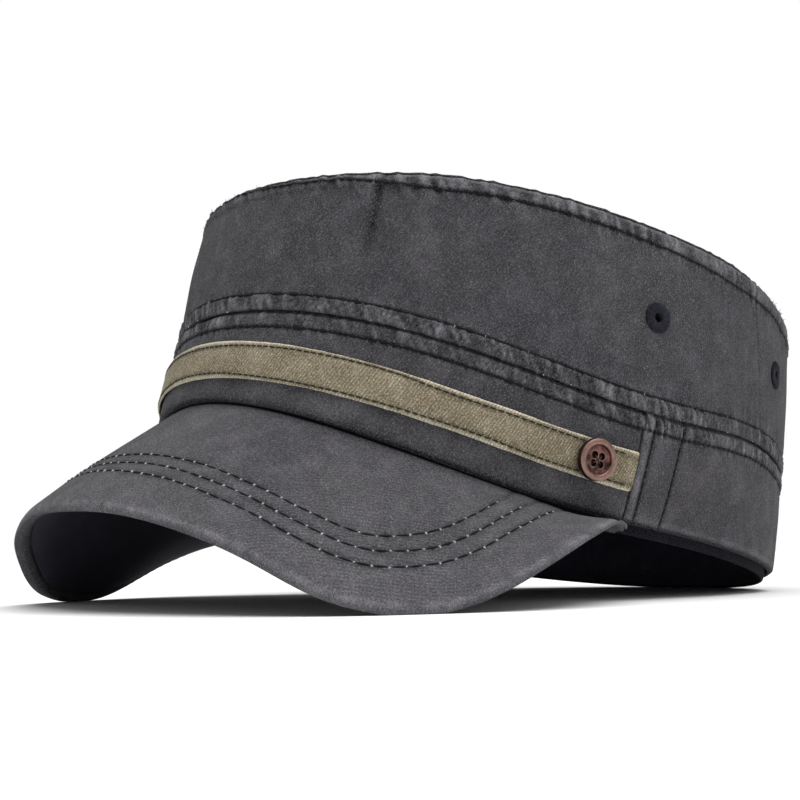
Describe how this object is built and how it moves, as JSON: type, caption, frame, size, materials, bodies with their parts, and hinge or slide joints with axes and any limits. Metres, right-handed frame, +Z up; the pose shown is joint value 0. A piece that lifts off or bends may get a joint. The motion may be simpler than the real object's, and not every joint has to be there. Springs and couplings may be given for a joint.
{
  "type": "patrol cap",
  "caption": "Soft charcoal cotton patrol cap with a flat top, a lapped band, a khaki strap with a button, and a curved peak.",
  "frame": {"origin": "middle of the cap's outline, on the floor that it rests on", "axes": "+Z up from the floor, the peak towards -Y, the wearer's left towards +X"},
  "size_m": [0.2048, 0.2608, 0.1204],
  "materials": {
    "cloth": "washed matt cotton",
    "tape": "matt twill tape",
    "thread": "matt embroidery thread",
    "dark_lining": "matt black cotton",
    "copper": "worn antique copper plate"
  },
  "bodies": {
    "root": {"crown_top": "cloth", "crown_side": "cloth", "band_front": "cloth", "band_back": "cloth", "strap": "tape", "peak": "cloth", "peak_lining": "dark_lining", "sweatband": "dark_lining", "button": "copper", "eyelet_side_left": "thread", "eyelet_rear_left": "thread", "eyelet_side_right": "thread", "eyelet_rear_right": "thread"}
  },
  "joints": []
}
